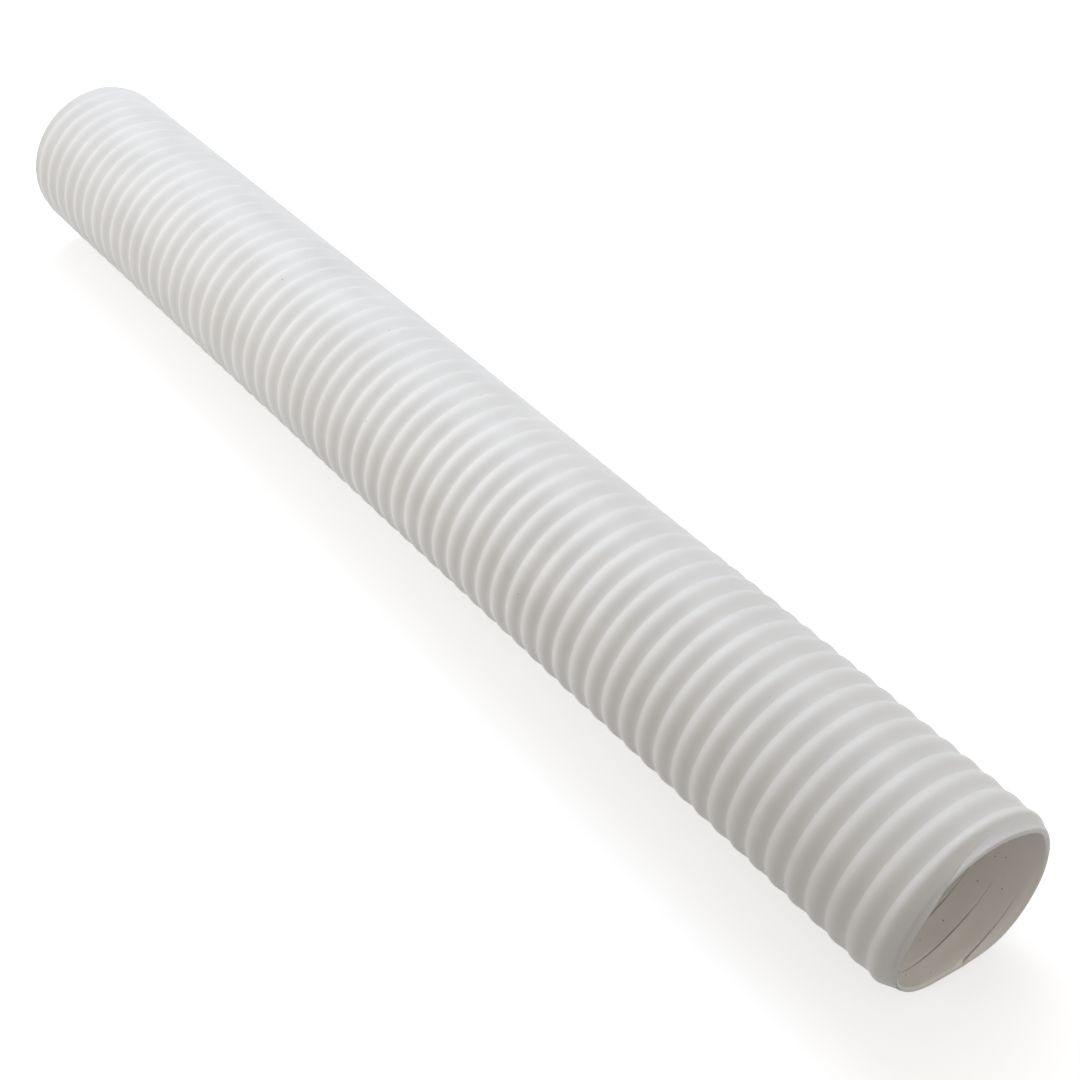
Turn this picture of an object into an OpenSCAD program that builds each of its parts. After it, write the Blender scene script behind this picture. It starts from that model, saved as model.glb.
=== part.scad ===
// Spiral-wound vacuum hose for a swimming pool: a straight cut length, bare at both ends.
// The hose lies along X on the plane z = 0, with the origin under its middle.

/* [Bore] */
// Inside diameter of the hose
bore_d = 38; // [30:0.5:50]
// Length of the hose between its two cut ends
hose_len = 332; // [220:1:380]

/* [Wall] */
// Thickness of the inner layer of the lapped strip
inner_lap_t = 0.85; // [0.6:0.05:1.5]
// Thickness of the bonding film between the two layers
bond_t = 0.2; // [0.1:0.05:0.4]
// Thickness of the outer layer of the lapped strip
outer_lap_t = 0.85; // [0.6:0.05:1.5]

/* [Rib] */
// Distance along the hose from one turn of the rib to the next
rib_pitch = 5.3; // [4.8:0.1:7]
// Bare wall left between one turn of the rib and the next
rib_gap = 0.4; // [0.3:0.05:0.8]
// Height of the rib above the wall
rib_h = 0.4; // [0.2:0.05:0.8]
// Width of the rib's crown
crown_w = 1.4; // [0.6:0.1:1.8]
// Distance from the rib's steep edge to the middle of its crown
crown_at = 1.8; // [1.2:0.1:2.4]
// Distance from the far cut end to the rib's steep edge, along the top of the hose
rib_lead = 3.8; // [0:0.1:4.8]

/* [Hidden] */
$fn = 96;

// Flat sides in one turn of the rib. An even number leaves a flat side for the hose to rest on.
rib_sides = 20;
// The rib stops where a cut end leaves less than this of its crown
crown_sliver = 0.2;
// How far a cutting tool runs past the face that it cuts
cut_past = 1;

bore_r = bore_d / 2;
bond_r = bore_r + inner_lap_t;
outer_lap_r = bond_r + bond_t;
wall_r = outer_lap_r + outer_lap_t;
side_angle = 360 / rib_sides;
// The middle of each flat side just touches the wall, and its corners stand a little clear
foot_r = wall_r / cos(side_angle / 2);
crown_r = foot_r + rib_h;
axis_h = crown_r * cos(side_angle / 2);
foot_end = rib_pitch - rib_gap;
crown_start = crown_at - crown_w / 2;
crown_end = crown_at + crown_w / 2;
step = rib_pitch / rib_sides;
// The rib's corner number 0 lies half a side past the top of the hose
first_corner = ceil((crown_sliver - crown_end - rib_lead) / step);
last_corner = floor((hose_len - crown_sliver - crown_start - rib_lead) / step);

function within_hose(x) = min(max(x, 0), hose_len);

// The rib's four corners at one step of its left-handed helix, in order along the hose.
// The steep edge faces the far end at x = 0, and the gentle slope faces the near end.
function rib_section(i) =
    let (
        turn = side_angle * (i + 0.5),
        x = rib_lead + step * (i + 0.5),
        profile = [[0, foot_r], [crown_start, crown_r], [crown_end, crown_r], [foot_end, foot_r]]
    )
    [for (p = profile) [within_hose(x + p[0]), p[1] * sin(turn), p[1] * cos(turn)]];

module rib_helix() {
    last = 4 * (last_corner - first_corner);
    points = [for (i = [first_corner : last_corner]) each rib_section(i)];
    sides = [for (a = [0 : 4 : last - 4], k = [0 : 3])
        let (here = a + k, next = a + (k + 1) % 4)
        each [[here, next, next + 4], [here, next + 4, here + 4]]];
    start_face = [3, 2, 1, 0];
    end_face = [last, last + 1, last + 2, last + 3];
    polyhedron(points, concat(sides, [start_face, end_face]));
}

// A plain tube from one cut end to the other
module layer(inner_r, thickness) {
    translate([-hose_len / 2, 0, axis_h])
    rotate([0, 90, 0])
    difference() {
        cylinder(r = inner_r + thickness, h = hose_len);
        translate([0, 0, -cut_past])
        cylinder(r = inner_r, h = hose_len + 2 * cut_past);
    }
}

module inner_lap() {
    color("gainsboro")
    layer(bore_r, inner_lap_t);
}

module lap_bond() {
    color("silver")
    layer(bond_r, bond_t);
}

module outer_lap() {
    color("whitesmoke")
    layer(outer_lap_r, outer_lap_t);
}

module rib_bead() {
    color("white")
    translate([-hose_len / 2, 0, axis_h])
    rib_helix();
}

inner_lap();
lap_bond();
outer_lap();
rib_bead();
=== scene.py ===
"""A cut length of white spiral-wound pool vacuum hose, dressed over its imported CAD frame.

Two wound strips are modelled as they meet at the mouth: the ribbed outer strip, whose end slopes down to
the rim, and the inner strip, which sticks out of it as a thin uneven lip and whose lapped edge runs round
the bore. Lengths are in metres. Angles are in degrees round the hose, from straight up towards +Y.
"""

import math

import bpy
import numpy as np
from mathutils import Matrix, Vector


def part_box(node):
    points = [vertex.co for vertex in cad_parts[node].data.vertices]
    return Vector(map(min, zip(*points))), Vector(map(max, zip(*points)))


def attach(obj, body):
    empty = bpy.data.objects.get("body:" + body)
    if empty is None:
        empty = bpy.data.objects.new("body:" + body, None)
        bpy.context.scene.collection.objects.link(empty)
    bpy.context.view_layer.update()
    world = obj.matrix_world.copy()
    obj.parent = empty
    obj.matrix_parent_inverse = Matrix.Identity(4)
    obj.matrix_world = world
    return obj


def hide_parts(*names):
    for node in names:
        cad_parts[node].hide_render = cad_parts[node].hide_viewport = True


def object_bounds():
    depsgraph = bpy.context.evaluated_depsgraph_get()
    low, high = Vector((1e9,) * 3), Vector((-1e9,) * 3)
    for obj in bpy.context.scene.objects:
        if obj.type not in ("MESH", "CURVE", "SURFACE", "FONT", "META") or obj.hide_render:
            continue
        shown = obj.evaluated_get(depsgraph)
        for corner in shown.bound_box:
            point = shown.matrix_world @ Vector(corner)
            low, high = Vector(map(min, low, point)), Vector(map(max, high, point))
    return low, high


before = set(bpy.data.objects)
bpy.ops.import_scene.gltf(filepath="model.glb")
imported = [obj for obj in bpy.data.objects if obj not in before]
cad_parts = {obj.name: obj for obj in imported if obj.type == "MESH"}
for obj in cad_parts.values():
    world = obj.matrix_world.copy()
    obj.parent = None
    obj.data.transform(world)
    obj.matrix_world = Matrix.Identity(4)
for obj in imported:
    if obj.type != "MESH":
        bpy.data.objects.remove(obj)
cad_low, cad_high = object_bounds()

MM = 0.001

# Camera, fitted to the photograph
FOCAL_PX = 1750
IMAGE_PX = 1080
SENSOR_MM = 36
CAMERA_AT = (0.25924, -0.17629, 0.29194)
CAMERA_AIM = (0.03850, -0.00089, 0.02130)

# The hose
BORE_R = 19.0 * MM
LAP_R = 19.85 * MM
WALL_R = 20.9 * MM
HALF_LEN = (cad_high.x - cad_low.x) / 2
AXIS_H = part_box("outer_lap")[1].z - WALL_R
# How far the middle of the hose lies from the straight line between its ends, along Y and Z
BOW = (-0.96 * MM, 2.08 * MM)

# The rib, which starts at its steep foot
RIB_H = 0.45 * MM
RIB_PITCH = 5.283 * MM
RIB_FOOT_AT = 159.72 * MM
# Share of the rib's height at a share of the pitch
RIB_SECTION = {0: 0, 0.2: 0.8, 0.33: 1, 0.47: 0.84, 0.6: 0.57, 0.8: 0.25, 1: 0}
# Share of its height that each wave of unevenness adds to the rib or takes from it
RIB_UNEVEN = 0.03

# Dirt and painted shade on the rib, darker in the valley. A pair gives two places along the hose, and the
# change happens between them.
# Share of the pitch at which the rib's colour is palest
PALEST_AT = 0.22
# The contrast of the rib's dirt and painted shade at the far end, which grows to 1
FAR_CONTRAST = 0.4
CONTRAST_GROWS = (-80 * MM, 120 * MM)

# The side of the hose round EVEN_AT, where the rib's dirt and painted shade fade to an even colour. It ends
# BACK_HASTE times sooner towards the back of the hose, and it ends along the hose over EVEN_ENDS.
EVEN_AT = 45
BACK_HASTE = 1.6
EVEN_ENDS = (60 * MM, 220 * MM)
# More than 1, so that the middle of that side has no contrast at all
EVEN_STRENGTH = 1.2
# On that side the rib loses RIB_LOSS of its height, more fully as the evenness crosses FLAT_EDGE
RIB_LOSS = 0.75
FLAT_EDGE = (0.86, 0.96)
FLAT_ENDS = (50 * MM, 100 * MM)

# The inner strip's edge in the bore, which has come a little loose round LOOSE_AT
LAP_EDGE_AT = 156.60 * MM
LOOSE_AT = 170
LOOSE_WIDTH = 26
LIFT = 0.25 * MM
CRACK = 0.5 * MM

# The near end, in millimetres by angle. The outer strip starts to fall SHOULDER_LEN before it ends along
# SHOULDER_CUT, at the radius SHOULDER_R. The inner strip goes on to LIP_CUT as a lip, where it lies between
# the radii LIP_IN and LIP_OUT, apart from the stretch round -60 that the outer strip covers.
SHOULDER_CUT = {
    -163: 163.4, -123: 163.8, -98: 164.4, -63: 164.9, -43: 164.7, -28: 164.0,
    -13: 163.3, 2: 163.2, 17: 163.6, 32: 164.0, 67: 164.8, 87: 165.3, 107: 165.6, 147: 165.1,
}
SHOULDER_LEN = {-163: 4.0, -98: 4.6, -43: 4.8, -28: 3.9, -13: 3.0, 37: 2.5, 67: 2.9, 107: 3.2, 147: 3.2}
SHOULDER_R = {
    -168: 20.3, -128: 19.75, -98: 19.4, -63: 19.25, -43: 19.3, -23: 19.8, -8: 20.15, 57: 20.25, 107: 20.15,
}
LIP_CUT = {
    -173: 164.2, -133: 164.1, -98: 164.1, -63: 164.4, -43: 164.3, -23: 164.4,
    -8: 164.7, 7: 165.1, 27: 165.6, 67: 165.3, 107: 166.0, 147: 166.1,
}
LIP_IN = {-163: 19.0, -123: 18.8, -88: 18.8, -28: 19.0, 82: 19.0, 107: 19.3, 157: 19.4, 182: 19.2}
LIP_OUT = {
    -163: 20.4, -147: 20.0, -123: 19.6, -88: 19.45, -43: 19.45,
    -13: 20.0, 47: 20.05, 87: 19.95, 147: 20.0, 177: 20.4,
}
# How far before its edge the lip starts to turn in or out
TURN_LEN = 1.9 * MM

# Points round the hose
COLUMNS = 160

# Colours of the plastic
OUTER_CLEAN = (0.885, 0.885, 0.88)
# The dark colour: dirt and painted shade in the rib valleys, and painted shade at the near end and rim
OUTER_DIRT_AND_SHADE = (0.65, 0.645, 0.63)
# The lip's grey is painted shade
LIP_SHADE_GREY = (0.63, 0.63, 0.625)
# The bore's cream is partly its own tone and partly painted light
BORE_CREAM = (0.93, 0.912, 0.872)
SPECK_BROWN = (0.24, 0.19, 0.14)

# The floor's glow near the hose and past the lamps' reach, and the distances between which it changes
NEAR_GLOW = 0.66
FAR_GLOW = 1.0
LAMP_REACH = 0.6
FAR_REACH = 2.0

WHITE = (1, 1, 1)


# ---------------------------------------------------------------------------- camera and lights


def seen_rays(tree):
    """1 where the camera sees a surface, directly or in a reflection, and 0 where it only lights."""
    path = tree.nodes.new("ShaderNodeLightPath")
    seen = path.outputs["Is Camera Ray"]
    for ray in ("Is Glossy Ray", "Is Transmission Ray"):
        either = tree.nodes.new("ShaderNodeMath")
        either.operation = "MAXIMUM"
        tree.links.new(seen, either.inputs[0])
        tree.links.new(path.outputs[ray], either.inputs[1])
        seen = either.outputs[0]
    return seen


def make_camera():
    data = bpy.data.cameras.new("camera")
    data.sensor_width = SENSOR_MM
    data.lens = FOCAL_PX / IMAGE_PX * SENSOR_MM
    data.clip_start = 0.01
    data.clip_end = 20
    camera = bpy.data.objects.new("camera", data)
    camera.location = CAMERA_AT
    look = Vector(CAMERA_AIM) - Vector(CAMERA_AT)
    camera.rotation_euler = look.to_track_quat("-Z", "Y").to_euler()
    bpy.context.scene.collection.objects.link(camera)
    bpy.context.scene.camera = camera


def area_light(name, at, size, power, colour, aim=(0, 0, AXIS_H), spread=180):
    """A square soft light that faces its aim."""
    data = bpy.data.lights.new(name, "AREA")
    data.size = size
    data.energy = power
    data.color = colour
    data.spread = math.radians(spread)
    light = bpy.data.objects.new(name, data)
    light.location = at
    light.rotation_euler = (Vector(aim) - Vector(at)).to_track_quat("-Z", "Y").to_euler()
    bpy.context.scene.collection.objects.link(light)


def make_world(strength, colour):
    """A soft light from all round, that the camera sees as white."""
    world = bpy.data.worlds.new("studio")
    world.use_nodes = True
    tree = world.node_tree
    light = tree.nodes["Background"]
    light.inputs["Color"].default_value = (*colour, 1)
    light.inputs["Strength"].default_value = strength
    backdrop = tree.nodes.new("ShaderNodeBackground")
    backdrop.inputs["Color"].default_value = (*WHITE, 1)
    mix = tree.nodes.new("ShaderNodeMixShader")
    tree.links.new(seen_rays(tree), mix.inputs["Fac"])
    tree.links.new(light.outputs[0], mix.inputs[1])
    tree.links.new(backdrop.outputs[0], mix.inputs[2])
    tree.links.new(mix.outputs[0], tree.nodes["World Output"].inputs["Surface"])
    bpy.context.scene.world = world


# ---------------------------------------------------------------------------- shapes


def smooth_step(t):
    """A smooth rise from 0 to 1 as t goes from 0 to 1."""
    t = np.clip(t, 0, 1)
    return t * t * (3 - 2 * t)


def rise_over(stretch, value):
    """A smooth rise from 0 to 1 as the value crosses a stretch, given by its two ends."""
    low, high = stretch
    return smooth_step((value - low) / (high - low))


def smooth_curve(knots, values, at):
    """A smooth curve through the given knots, read at the places in at."""
    slopes = np.gradient(values, knots)
    i = np.clip(np.searchsorted(knots, at, "right") - 1, 0, len(knots) - 2)
    step = knots[i + 1] - knots[i]
    t = (at - knots[i]) / step
    rise = values[i + 1] - values[i]
    bend = t * (1 - t) * step * ((1 - t) * slopes[i] - t * slopes[i + 1])
    return values[i] + smooth_step(t) * rise + bend


def by_angle(table, angle):
    """A smooth closed curve through a table of {angle in degrees: value in millimetres}."""
    knots = np.array(list(table), float)
    values = np.array(list(table.values()), float) * MM
    knots = np.concatenate([knots[-2:] - 360, knots, knots[:2] + 360])
    values = np.concatenate([values[-2:], values, values[:2]])
    turn = (np.asarray(angle, float) - knots[2]) % 360 + knots[2]
    return smooth_curve(knots, values, turn)


def angle_from(start, angle):
    """The signed angle from start, between -180 and 180."""
    return (np.asarray(angle, float) - start + 180) % 360 - 180


def place(x, radius, angle):
    """Points at a place along the hose, a radius and an angle, with the hose's slight bow."""
    x, radius, angle = np.broadcast_arrays(x, radius, np.radians(angle))
    rise = 1 - (x / HALF_LEN) ** 2
    y = radius * np.sin(angle) + BOW[0] * rise
    z = radius * np.cos(angle) + BOW[1] * rise + AXIS_H
    return np.stack([x, y, z], -1)


def phase_of(x, angle, start):
    """How far a point lies from the last turn of a left-handed helix, as a share of the pitch."""
    return ((x - start) / RIB_PITCH - np.asarray(angle) / 360) % 1


def evenness(angle):
    """1 at EVEN_AT, falling to 0 a quarter turn before it, and sooner after it."""
    away = angle_from(EVEN_AT, angle)
    away = np.clip(np.where(away > 0, BACK_HASTE * away, away), -90, 90)
    return np.cos(np.radians(away))


def rib_skin(x, angle):
    """Radius of the ribbed outside, which varies a little from turn to turn."""
    phase = phase_of(x, angle, RIB_FOOT_AT)
    section = smooth_curve(np.array(list(RIB_SECTION)), np.array(list(RIB_SECTION.values())), phase)
    turn = np.radians(angle)
    uneven = np.sin(3 * turn + 210 * x) + np.sin(5 * turn - 330 * x) + np.sin(2 * turn + 90 * x)
    flat_side = rise_over(FLAT_EDGE, evenness(angle)) * (1 - rise_over(FLAT_ENDS, x))
    return WALL_R + RIB_H * section * (1 + RIB_UNEVEN * uneven) * (1 - RIB_LOSS * flat_side)


def rib_dirt_and_shade(x, angle):
    """Dirt and painted shade on the ribbed outside, from 0 to 1: least on the crown and most in the valley
    behind it.
    """
    contrast = FAR_CONTRAST + (1 - FAR_CONTRAST) * rise_over(CONTRAST_GROWS, x)
    even_side = evenness(angle) ** 2 * (1 - rise_over(EVEN_ENDS, x))
    contrast = contrast * np.clip(1 - EVEN_STRENGTH * even_side, 0, 1)
    return 0.5 - 0.5 * contrast * np.cos(2 * math.pi * (phase_of(x, angle, RIB_FOOT_AT) - PALEST_AT))


class Tube:
    """A closed mesh of rings and helical rows over the same columns of angles, with a colour mix at each
    point.
    """

    def __init__(self):
        self.angles = np.arange(COLUMNS) * 360 / COLUMNS
        self.points = []
        self.colour_mix = []
        self.count = 0
        self.faces = []
        self.first = None
        self.last = None

    def add(self, points, colour_mix):
        """Adds points and returns their numbers."""
        self.points.append(points)
        self.colour_mix.append(np.broadcast_to(colour_mix, len(points)))
        self.count += len(points)
        return np.arange(self.count - len(points), self.count)

    def ring(self, x, radius, colour_mix=0.0):
        """A ring of points, one to a column, joined to the ring before it."""
        ring = self.add(place(x, radius, self.angles), colour_mix)
        self.join(self.last, ring)
        self.last = ring
        if self.first is None:
            self.first = ring

    def join(self, a, b):
        if a is not None:
            self.faces += np.stack([a, np.roll(a, -1), np.roll(b, -1), b], -1).tolist()

    def helix(self, start, phases, low, high, radius_at, colour_mix_at):
        """Rows that follow the helix between the cuts low and high, each given for every column.

        A point that would lie past a cut, or just short of it, is the cut's own point instead.
        """
        shortfall = 0.02 * MM
        turns = range(-1, int((high.max() - low.min()) / RIB_PITCH) + 3)
        first = start - math.floor((start - low.min()) / RIB_PITCH + 1) * RIB_PITCH
        rows = np.array([first + (n + f) * RIB_PITCH for n in turns for f in phases])
        raw = rows[:, None] + self.angles[None, :] / 360 * RIB_PITCH
        inside = (raw > low + shortfall) & (raw < high - shortfall)
        low_ring, high_ring = (
            self.add(place(cut, radius_at(cut, self.angles), self.angles), colour_mix_at(cut, self.angles))
            for cut in (low, high)
        )
        x = raw[inside]
        angles = np.broadcast_to(self.angles, raw.shape)[inside]
        index = np.where(raw < (low + high) / 2, low_ring, high_ring)
        index[inside] = self.add(place(x, radius_at(x, angles), angles), colour_mix_at(x, angles))
        # Past the last column, each row goes on as the first column's row one turn further along
        wrapped = np.vstack([index[len(phases):, :1], np.full((len(phases), 1), high_ring[0])])
        index = np.hstack([index, wrapped])
        quads = np.stack([index[:-1, :-1], index[:-1, 1:], index[1:, 1:], index[1:, :-1]], -1)
        for quad in quads.reshape(-1, 4).tolist():
            corners = list(dict.fromkeys(quad))
            if len(corners) > 2:
                self.faces.append(corners)
        self.join(self.last, low_ring)
        self.last = high_ring

    def close(self):
        self.join(self.last, self.first)

    def build(self, name, material):
        mesh = bpy.data.meshes.new(name)
        mesh.from_pydata(np.concatenate(self.points).tolist(), [], self.faces)
        colour_mix = mesh.attributes.new("colour_mix", "FLOAT", "POINT")
        colour_mix.data.foreach_set("value", np.concatenate(self.colour_mix).astype(np.float32))
        mesh.validate()
        mesh.shade_smooth()
        mesh.materials.append(material)
        piece = bpy.data.objects.new(name, mesh)
        bpy.context.scene.collection.objects.link(piece)
        return piece


def make_outer_strip(material):
    """The ribbed outer strip, from its square far end to the shoulder that falls to the near rim."""
    tube = Tube()
    # Just inside the inner strip, so that no gap shows between the two
    hidden_r = LAP_R - 0.05 * MM
    # The cut ends take the full dark colour, which on the near shoulder and rim is painted shade
    cut_end_dark = 1.0
    far_round = 0.5 * MM
    far_x = -HALF_LEN + 0.15 * MM
    shoulder_end = by_angle(SHOULDER_CUT, tube.angles)
    shoulder_len = by_angle(SHOULDER_LEN, tube.angles)
    shoulder_start = shoulder_end - shoulder_len
    rim_r = by_angle(SHOULDER_R, tube.angles)

    tube.ring(np.full(COLUMNS, far_x), hidden_r, cut_end_dark)
    far_top = rib_skin(far_x + far_round, tube.angles)
    for t in (0.15, 0.4, 0.7):
        turn = t * math.pi / 2
        x = np.full(COLUMNS, far_x + far_round * (1 - math.cos(turn)))
        tube.ring(x, far_top - far_round * (1 - math.sin(turn)), 0.5)
    phases = (0, 0.02, 0.06, 0.12, 0.18, 0.24, 0.3, 0.36, 0.42, 0.48, 0.55, 0.64, 0.75, 0.86, 0.95, 0.985)
    far_cut = np.full(COLUMNS, far_x + far_round)
    tube.helix(RIB_FOOT_AT, phases, far_cut, shoulder_start, rib_skin, rib_dirt_and_shade)
    # The shoulder bends over this share of its length and then falls straight to the rim
    bent = 0.45
    # Share of its length over which the shoulder darkens to the rim's colour, a painted shade on the end
    # that faces the mouth
    shade_share = 0.6
    for t in (0.08, 0.16, 0.24, 0.32, 0.4, 0.48, 0.56, 0.64, 0.72, 0.8, 0.88, 0.95, 1):
        fall = (t * t / (2 * bent) if t < bent else t - bent / 2) / (1 - bent / 2)
        x = shoulder_start + shoulder_len * t
        radius = rib_skin(x, tube.angles) * (1 - fall) + rim_r * fall
        # Painted shade: towards the rim the shoulder takes the full dark colour
        shaded = smooth_step(t / shade_share)
        tube.ring(x, radius, rib_dirt_and_shade(x, tube.angles) * (1 - shaded) + cut_end_dark * shaded)
    # The rim turns under and runs into the inner strip
    tube.ring(shoulder_end - 0.04 * MM, rim_r - 0.06 * MM, cut_end_dark)
    tube.ring(shoulder_end - 0.4 * MM, hidden_r, cut_end_dark)
    for share in np.linspace(0.9, 0.1, 9):
        tube.ring(far_x + (shoulder_end - far_x) * share, hidden_r)
    tube.close()
    return tube.build("outer_strip", material)


def make_inner_strip(material):
    """The inner strip, with its lapped edge along the bore and its uneven lip at the near end."""
    tube = Tube()
    edge = 0.4 * MM
    far_round = 0.25 * MM
    far_x = -HALF_LEN + 0.1 * MM
    lip_x = by_angle(LIP_CUT, tube.angles)
    lip_out = by_angle(LIP_OUT, tube.angles)

    def bore(x, angle):
        phase = phase_of(x, angle, LAP_EDGE_AT)
        away = angle_from(LOOSE_AT, angle)
        loose = np.clip(np.exp(-((away / LOOSE_WIDTH) ** 2)) - 0.03, 0, 1)
        lifted = LIFT * np.clip(1 - phase / 0.4, 0, 1) ** 2
        crack = CRACK * np.clip((phase - 0.93) / 0.055, 0, 1)
        turned = by_angle(LIP_IN, angle) - BORE_R
        share = smooth_step((x - by_angle(LIP_CUT, angle) + TURN_LEN) / TURN_LEN)
        return BORE_R - (lifted - crack) * loose + turned * share

    # The bore takes its cream all over, partly painted light
    def bore_cream_share(x, angle):
        return np.ones(np.broadcast(x, angle).shape)

    tube.ring(np.full(COLUMNS, far_x), BORE_R + far_round, 1)
    # The first and last rows stand just off the lap's edge, so that each lies on its own side of it
    phases = (0.001, 0.03, 0.1, 0.2, 0.32, 0.45, 0.65, 0.85, 0.93, 0.955, 0.985, 0.997)
    far_cut = np.full(COLUMNS, far_x + far_round)
    tube.helix(LAP_EDGE_AT, phases, far_cut, lip_x - edge, bore, bore_cream_share)
    rim_in = bore(lip_x - edge, tube.angles)
    # Round its edge the lip turns from the bore's cream to its grey, which is painted shade
    for t in np.linspace(0, 1, 9)[1:]:
        turn = t * math.pi
        radius = (rim_in + lip_out) / 2 - (lip_out - rim_in) / 2 * math.cos(turn)
        tube.ring(lip_x - edge + edge * math.sin(turn), radius, 1 - smooth_step(2 * t))
    # The lip levels out from its root, at the end of the shoulder or just behind its own edge
    root = np.minimum(by_angle(SHOULDER_CUT, tube.angles), lip_x - edge - 0.2 * MM)
    root_r = by_angle(SHOULDER_R, tube.angles) + 0.01 * MM
    for t in (0.85, 0.7, 0.55, 0.4, 0.25, 0.1, 0):
        x = root + (lip_x - edge - root) * t
        tube.ring(x, lip_out + (root_r - lip_out) * (1 - t) ** 2)
    # Behind its root it dives under the outer strip
    under = root - 0.6 * MM
    tube.ring(root - 0.1 * MM, root_r + 0.03 * MM)
    tube.ring(under, LAP_R - 0.02 * MM)
    for share in np.linspace(0.98, 0.02, 12):
        tube.ring(far_x + (under - far_x) * share, LAP_R)
    tube.ring(np.full(COLUMNS, far_x), LAP_R - 0.2 * MM, 1)
    tube.close()
    return tube.build("inner_strip", material)


# ---------------------------------------------------------------------------- materials


class Shading:
    """A new material, with short ways to add and link its nodes."""

    def __init__(self, name):
        self.material = bpy.data.materials.new(name)
        self.material.use_nodes = True
        self.tree = self.material.node_tree
        self.shader = self.tree.nodes["Principled BSDF"]

    def set(self, **values):
        for name, value in values.items():
            self.shader.inputs[name.replace("_", " ")].default_value = value

    def link(self, value, socket):
        """Links a node's output to a socket, or sets the socket to a plain value."""
        if isinstance(value, bpy.types.NodeSocket):
            self.tree.links.new(value, socket)
        else:
            socket.default_value = value

    def node(self, kind, output, **inputs):
        made = self.tree.nodes.new(kind)
        for name, value in inputs.items():
            self.link(value, made.inputs[name])
        return made.outputs[output]

    def math(self, operation, a, b):
        made = self.tree.nodes.new("ShaderNodeMath")
        made.operation = operation
        self.link(a, made.inputs[0])
        self.link(b, made.inputs[1])
        return made.outputs[0]

    def mix(self, factor, a, b):
        """Mixes two colours, each given as a node's output or as red, green and blue."""
        made = self.tree.nodes.new("ShaderNodeMix")
        made.data_type = "RGBA"
        self.link(factor, made.inputs["Factor"])
        for colour, name in ((a, "A"), (b, "B")):
            plain = not isinstance(colour, bpy.types.NodeSocket)
            self.link((*colour, 1) if plain else colour, made.inputs[name])
        return made.outputs["Result"]

    def ramp(self, value, low, high, to_low=0.0, to_high=1.0):
        """A smooth change from to_low to to_high as the value goes from low to high."""
        made = self.tree.nodes.new("ShaderNodeMapRange")
        made.interpolation_type = "SMOOTHSTEP"
        self.link(value, made.inputs["Value"])
        self.link(low, made.inputs["From Min"])
        self.link(high, made.inputs["From Max"])
        self.link(to_low, made.inputs["To Min"])
        self.link(to_high, made.inputs["To Max"])
        return made.outputs["Result"]


def plastic(name, first_colour, second_colour, speck_share, near_end_shade):
    """Satin white plastic: a mix of two colours by the mesh, faint clouding, a few dark specks, fine grain,
    and painted shade at the near end.

    speck_share is the share of the places for a speck that have one, and the last argument is how far the
    near end is painted darker towards the second colour, a painted shade, from 0 to 1.
    """
    made = Shading(name)
    made.set(Specular_IOR_Level=0.25, Subsurface_Weight=0.15, Subsurface_Radius=(1, 0.9, 0.8))
    made.set(Subsurface_Scale=0.0015)
    where = made.node("ShaderNodeTexCoord", "Object")

    attribute = made.tree.nodes.new("ShaderNodeAttribute")
    attribute.attribute_name = "colour_mix"
    cloud = made.node("ShaderNodeTexNoise", "Fac", Vector=where, Scale=70.0, Detail=6.0)
    patchy = made.math("MULTIPLY", made.math("SUBTRACT", cloud, 0.5), 0.7)
    # The mesh's colour mix: dirt and painted shade on the outer strip; the lip's painted shade and the
    # bore's cream on the inner
    colour = made.mix(made.math("ADD", attribute.outputs["Fac"], patchy), first_colour, second_colour)

    # Painted shade: the near end darkens towards the darker colour
    along = made.node("ShaderNodeSeparateXYZ", "X", Vector=where)
    near_shade = made.ramp(along, 0.02, 0.17, 0.0, near_end_shade)
    colour = made.mix(near_shade, colour, second_colour)

    cells = made.tree.nodes.new("ShaderNodeTexVoronoi")
    made.link(where, cells.inputs["Vector"])
    made.link(500.0, cells.inputs["Scale"])
    dot = made.ramp(cells.outputs["Distance"], 0.05, 0.11, 1.0, 0.0)
    chance = made.node("ShaderNodeSeparateColor", "Red", Color=cells.outputs["Color"])
    some = made.math("LESS_THAN", chance, speck_share)
    speck = made.math("MULTIPLY", made.math("MULTIPLY", dot, some), 0.75)
    made.link(made.mix(speck, colour, SPECK_BROWN), made.shader.inputs["Base Color"])

    haze = made.node("ShaderNodeTexNoise", "Fac", Vector=where, Scale=240.0, Detail=3.0)
    made.link(made.ramp(haze, 0.3, 0.7, 0.4, 0.5), made.shader.inputs["Roughness"])
    grain = made.node("ShaderNodeTexNoise", "Fac", Vector=where, Scale=900.0, Detail=4.0)
    bump = made.node("ShaderNodeBump", "Normal", Height=grain, Strength=0.12, Distance=0.0002)
    made.link(bump, made.shader.inputs["Normal"])
    return made.material


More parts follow.
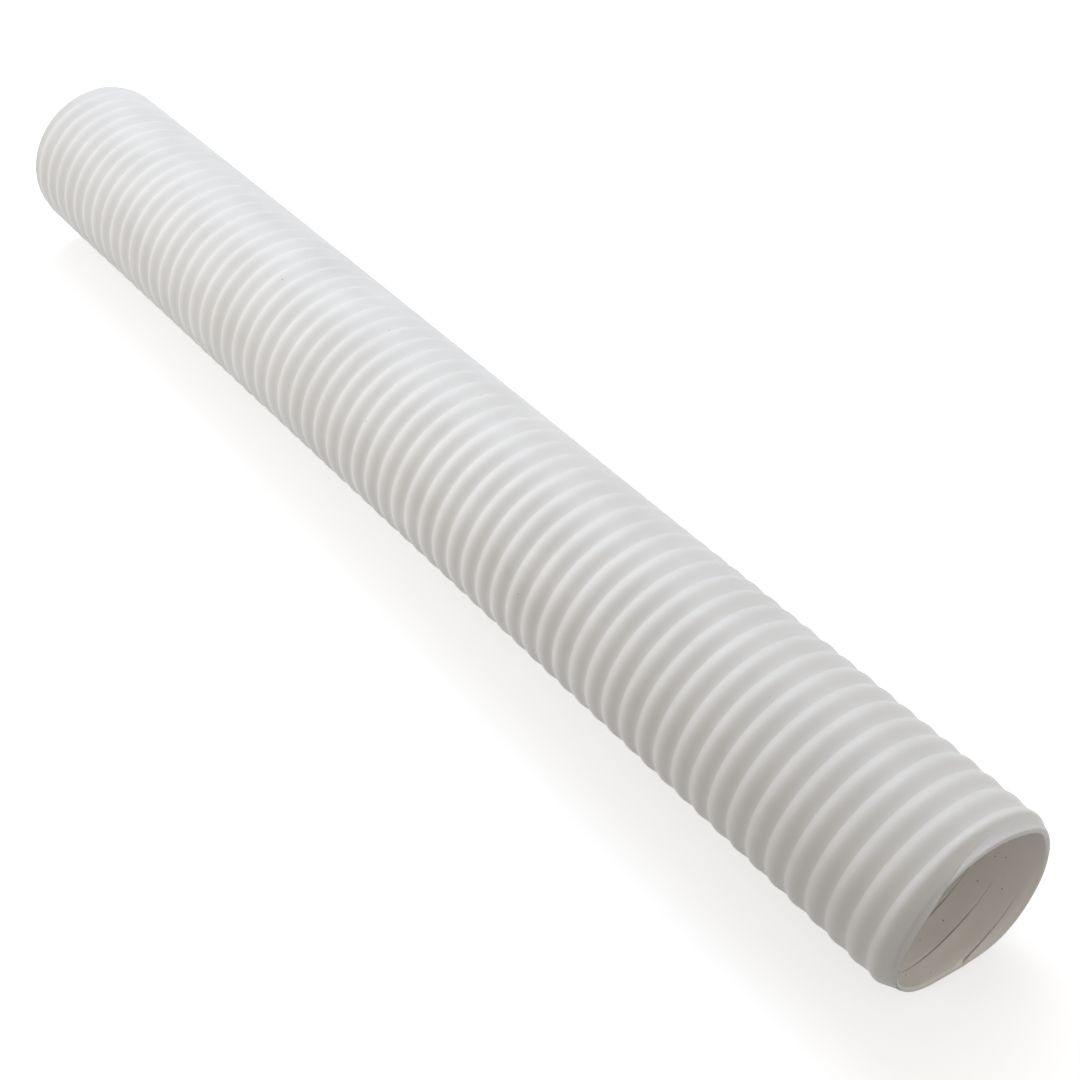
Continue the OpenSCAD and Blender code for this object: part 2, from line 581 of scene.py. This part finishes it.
def floor_material():
    """A pale floor that the camera sees as white, and that keeps the hose's shadow."""
    made = Shading("floor")
    made.set(Base_Color=(0.5, 0.5, 0.5, 1), Roughness=0.9, Specular_IOR_Level=0.1)
    made.set(Emission_Color=(*WHITE, 1))
    reach = made.tree.nodes.new("ShaderNodeVectorMath")
    reach.operation = "LENGTH"
    made.link(made.node("ShaderNodeTexCoord", "Object"), reach.inputs[0])
    # Past the lamps' reach it glows as bright as the backdrop that it runs into
    glow = made.ramp(reach.outputs["Value"], LAMP_REACH, FAR_REACH, NEAR_GLOW, FAR_GLOW)
    made.link(made.math("MULTIPLY", seen_rays(made.tree), glow), made.shader.inputs["Emission Strength"])
    return made.material


def make_floor():
    side = 4.0
    mesh = bpy.data.meshes.new("floor")
    corners = [(-side, -side, 0), (side, -side, 0), (side, side, 0), (-side, side, 0)]
    mesh.from_pydata(corners, [], [(0, 1, 2, 3)])
    mesh.materials.append(floor_material())
    floor = bpy.data.objects.new("floor", mesh)
    floor.location.z = AXIS_H - WALL_R - RIB_H
    bpy.context.scene.collection.objects.link(floor)


# ---------------------------------------------------------------------------- the scene

make_camera()

# The outer strip's near end is painted darker, a painted shade
outer_plastic = plastic("hose_outer", OUTER_CLEAN, OUTER_DIRT_AND_SHADE, speck_share=0.012, near_end_shade=0.5)
outer_strip = make_outer_strip(outer_plastic)
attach(outer_strip, "root")
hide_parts("outer_lap", "rib_bead")

# The inner strip's grey lip is painted shade, and its bore's cream is partly painted light
inner_plastic = plastic("hose_inner", LIP_SHADE_GREY, BORE_CREAM, speck_share=0.4, near_end_shade=0.0)
inner_strip = make_inner_strip(inner_plastic)
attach(inner_strip, "root")
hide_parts("inner_lap", "lap_bond")

centreline = place(np.linspace(HALF_LEN, -HALF_LEN, 21), 0, 0)

make_floor()
make_world(0.473, (1.0, 0.92, 0.835))
area_light("key", (-0.390, 0.225, 0.779), 0.45, 2.95, (0.68, 0.81, 1.0))
area_light("top_right", (-0.117, 0.435, 0.779), 0.45, 1.45, WHITE)
area_light("far_left", (-0.753, -0.435, 0.233), 0.45, 0.6, WHITE)
area_light("front_right", (0.753, 0.435, 0.233), 0.45, 0.56, WHITE)
area_light("left", (-0.15, -0.50, 0.25), 0.3, 0.13, WHITE, aim=(-0.08, 0, 0.02), spread=60)

bpy.context.scene.view_settings.view_transform = "Standard"
